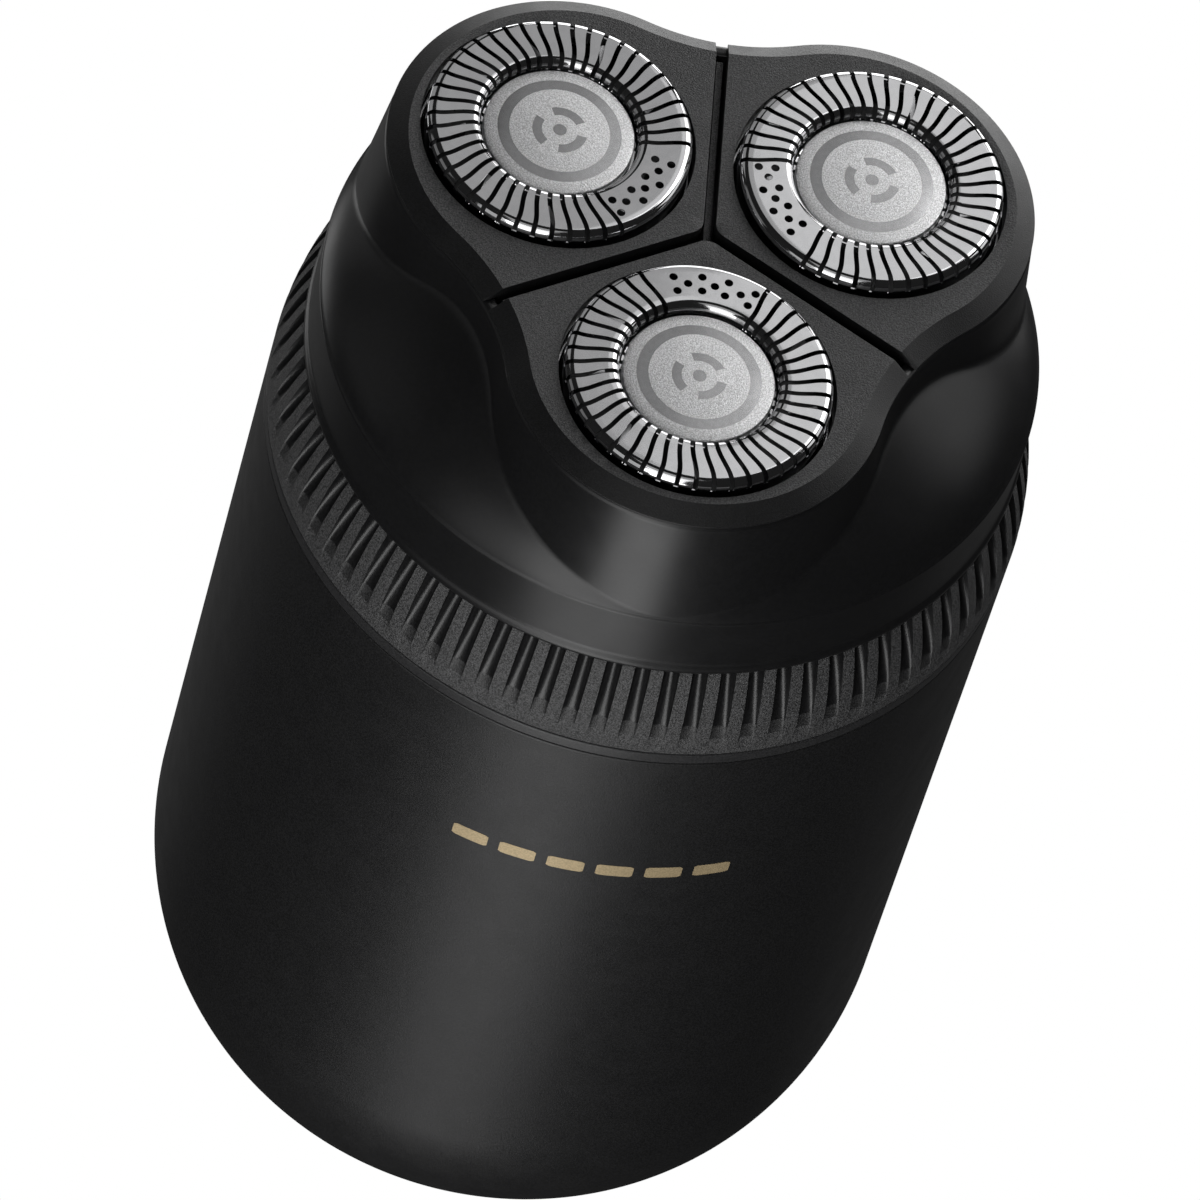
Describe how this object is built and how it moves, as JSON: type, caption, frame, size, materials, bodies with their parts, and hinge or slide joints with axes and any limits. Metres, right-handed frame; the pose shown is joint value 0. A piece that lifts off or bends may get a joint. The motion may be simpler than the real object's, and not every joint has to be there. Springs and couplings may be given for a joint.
{
  "type": "electric shaver",
  "caption": "Compact cordless rotary shaver with a rounded black handle, a ribbed twist ring and a lobed head of slotted round cutters.",
  "frame": {"origin": "centre of the handle's flat base, on the surface it stands on", "axes": "+Z along the shaver's axis towards the cutters, -Y towards the front cutting head and the printed mark, +Y towards the charging inlet"},
  "size_m": [0.056, 0.056, 0.1],
  "materials": {
    "anodised_black": "fine bead-blasted black anodised, satin",
    "ring_black": "matte black with a fine grain",
    "housing_black": "smooth satin black",
    "petal_black": "finely textured dark grey with a smoother chamfer",
    "polished_steel": "polished stainless steel",
    "satin_silver": "satin, fine grain",
    "plain_steel": "bright machined steel",
    "frame_plastic": "dark grey moulded plastic",
    "gear_plastic": "natural acetal",
    "seal_rubber": "soft black silicone",
    "battery_wrap": "blue shrink sleeve",
    "board_green": "green solder mask",
    "gold_print": "matte gold print"
  },
  "bodies": {
    "handle": {"body_shell": "anodised_black", "trim_ring": "anodised_black", "inner_frame": "frame_plastic", "battery_cell": "battery_wrap", "motor_can": "plain_steel", "circuit_board": "board_green", "ring_sensor": "housing_black", "charge_port": "plain_steel", "body_seal": "seal_rubber", "gear_axle_1": "plain_steel", "gear_axle_2": "plain_steel", "gear_axle_3": "plain_steel", "gear_cover": "frame_plastic", "cover_screw_1": "plain_steel", "cover_screw_2": "plain_steel", "cover_screw_3": "plain_steel"},
    "switch_ring": {"twist_ring": "ring_black", "ring_magnet": "plain_steel"},
    "rotor": {"motor_shaft": "plain_steel", "motor_pinion": "gear_plastic"},
    "head": {"shoulder_housing": "housing_black", "retainer_frame": "frame_plastic", "y_divider": "petal_black", "petal_1": "petal_black", "petal_2": "petal_black", "petal_3": "petal_black"},
    "gear_1": {"drive_gear_1": "gear_plastic", "spindle_spring_1": "plain_steel"},
    "spindle_1": {"drive_spindle_1": "gear_plastic"},
    "comb_1": {"guard_1": "polished_steel", "cap_disc_1": "satin_silver"},
    "blades_1": {"cutter_1": "plain_steel"},
    "gear_2": {"drive_gear_2": "gear_plastic", "spindle_spring_2": "plain_steel"},
    "spindle_2": {"drive_spindle_2": "gear_plastic"},
    "comb_2": {"guard_2": "polished_steel", "cap_disc_2": "satin_silver"},
    "blades_2": {"cutter_2": "plain_steel"},
    "gear_3": {"drive_gear_3": "gear_plastic", "spindle_spring_3": "plain_steel"},
    "spindle_3": {"drive_spindle_3": "gear_plastic"},
    "comb_3": {"guard_3": "polished_steel", "cap_disc_3": "satin_silver"},
    "blades_3": {"cutter_3": "plain_steel"}
  },
  "joints": [
    {"name": "ring_twist", "type": "hinge", "parent": "handle", "child": "switch_ring", "pos_m": [0, 0, 0.0739], "axis": [0, 0, 1], "range_deg": [0, 30]},
    {"name": "head_lift", "type": "slide", "parent": "handle", "child": "head", "axis": [0, 0, 1], "range_m": [0, 0.03]},
    {"name": "motor_spin", "type": "hinge", "parent": "handle", "child": "rotor", "pos_m": [0, 0, 0.0712], "axis": [0, 0, 1], "continuous": true},
    {"name": "gear_spin_1", "type": "hinge", "parent": "handle", "child": "gear_1", "pos_m": [0, -0.01311, 0.0726], "axis": [0, 0, 1], "continuous": true},
    {"name": "spindle_push_1", "type": "slide", "parent": "gear_1", "child": "spindle_1", "axis": [0, 0, -1], "range_m": [0, 0.001], "deforming": ["spindle_spring_1"]},
    {"name": "guard_float_1", "type": "slide", "parent": "head", "child": "comb_1", "axis": [0, 0, -1], "range_m": [0, 0.001], "stiffness_N_per_m": 600},
    {"name": "cutter_spin_1", "type": "hinge", "parent": "comb_1", "child": "blades_1", "pos_m": [0, -0.01311, 0.0946], "axis": [0, 0, 1], "continuous": true},
    {"name": "gear_spin_2", "type": "hinge", "parent": "handle", "child": "gear_2", "pos_m": [0.01135, 0.00656, 0.0726], "axis": [0, 0, 1], "continuous": true},
    {"name": "spindle_push_2", "type": "slide", "parent": "gear_2", "child": "spindle_2", "axis": [0, 0, -1], "range_m": [0, 0.001], "deforming": ["spindle_spring_2"]},
    {"name": "guard_float_2", "type": "slide", "parent": "head", "child": "comb_2", "axis": [0, 0, -1], "range_m": [0, 0.001], "stiffness_N_per_m": 600},
    {"name": "cutter_spin_2", "type": "hinge", "parent": "comb_2", "child": "blades_2", "pos_m": [0.01135, 0.00656, 0.0946], "axis": [0, 0, 1], "continuous": true},
    {"name": "gear_spin_3", "type": "hinge", "parent": "handle", "child": "gear_3", "pos_m": [-0.01135, 0.00656, 0.0726], "axis": [0, 0, 1], "continuous": true},
    {"name": "spindle_push_3", "type": "slide", "parent": "gear_3", "child": "spindle_3", "axis": [0, 0, -1], "range_m": [0, 0.001], "deforming": ["spindle_spring_3"]},
    {"name": "guard_float_3", "type": "slide", "parent": "head", "child": "comb_3", "axis": [0, 0, -1], "range_m": [0, 0.001], "stiffness_N_per_m": 600},
    {"name": "cutter_spin_3", "type": "hinge", "parent": "comb_3", "child": "blades_3", "pos_m": [-0.01135, 0.00656, 0.0946], "axis": [0, 0, 1], "continuous": true}
  ],
  "couplings": [
    {"joint": "motor_spin", "follows": "gear_spin_1", "ratio": -2.6667},
    {"joint": "cutter_spin_1", "follows": "gear_spin_1", "ratio": 1},
    {"joint": "spindle_push_1", "follows": "guard_float_1", "ratio": 1},
    {"joint": "gear_spin_2", "follows": "gear_spin_1", "ratio": 1},
    {"joint": "cutter_spin_2", "follows": "gear_spin_1", "ratio": 1},
    {"joint": "spindle_push_2", "follows": "guard_float_2", "ratio": 1},
    {"joint": "gear_spin_3", "follows": "gear_spin_1", "ratio": 1},
    {"joint": "cutter_spin_3", "follows": "gear_spin_1", "ratio": 1},
    {"joint": "spindle_push_3", "follows": "guard_float_3", "ratio": 1}
  ]
}
